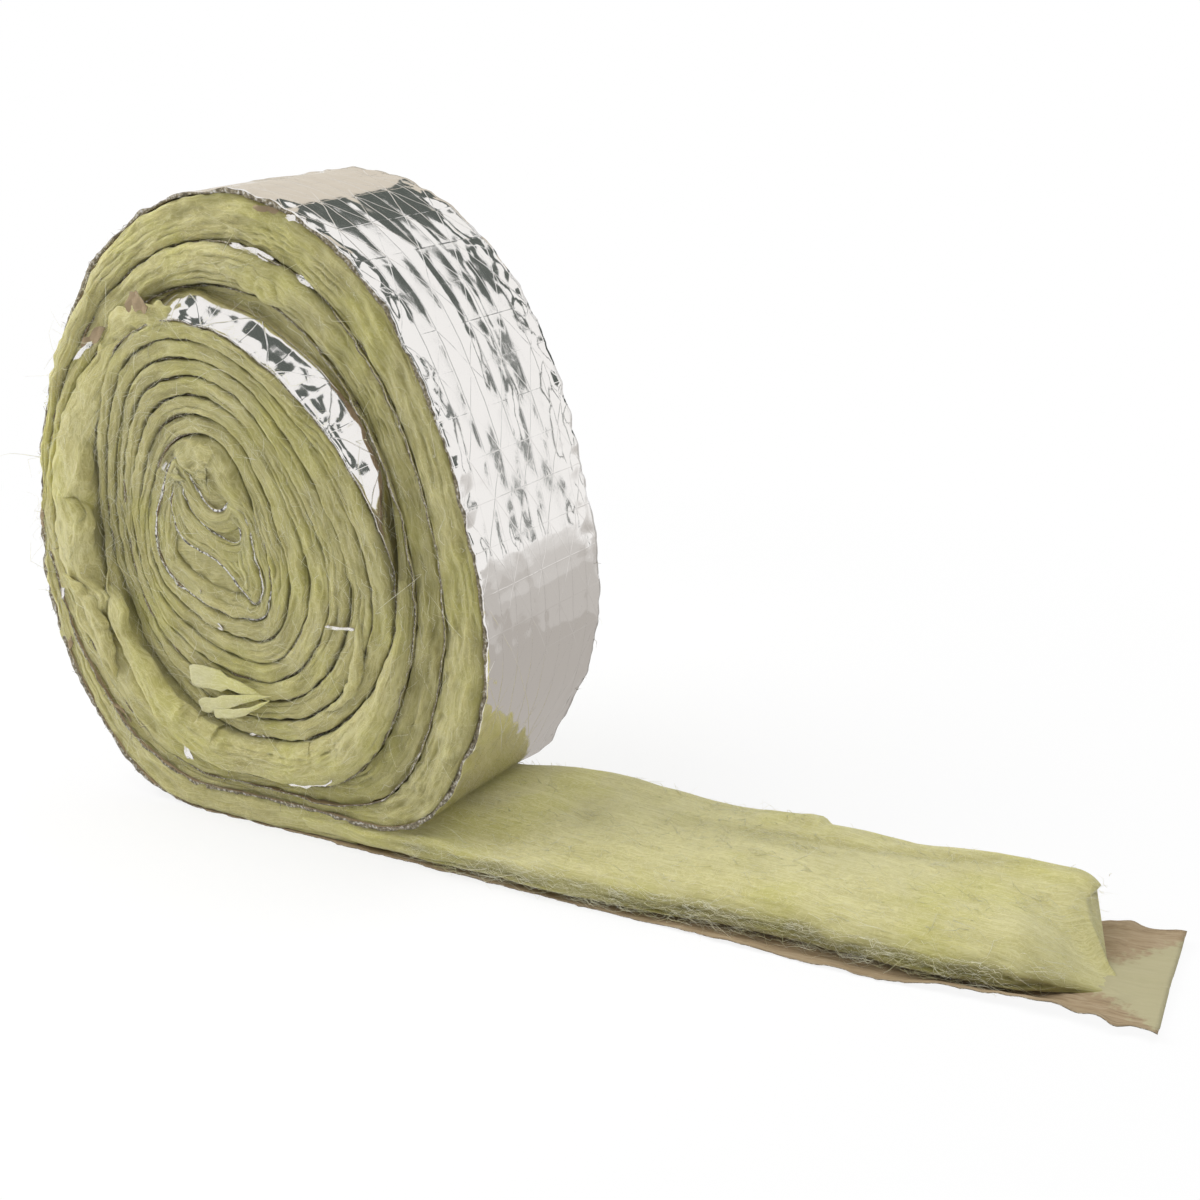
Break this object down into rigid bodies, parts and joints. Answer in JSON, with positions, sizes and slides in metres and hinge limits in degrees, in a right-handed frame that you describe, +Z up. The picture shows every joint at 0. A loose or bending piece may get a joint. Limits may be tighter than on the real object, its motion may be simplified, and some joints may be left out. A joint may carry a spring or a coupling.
{
  "type": "insulation roll",
  "caption": "Loose roll of foil-faced yellow glass wool strip, its free end laid out on the floor.",
  "frame": {"origin": "on the floor, on the underside of the facing below the roll's core, mid-width", "axes": "+X along the free end that lies on the floor, +Y across the strip away from the face that shows the folded core, +Z up"},
  "size_m": [0.6061, 0.1156, 0.319],
  "materials": {
    "glass_wool": "matte",
    "foil": "polished",
    "kraft": "matte"
  },
  "bodies": {
    "root": {"wool_blanket": "glass_wool", "foil_facing": "foil"}
  },
  "joints": []
}
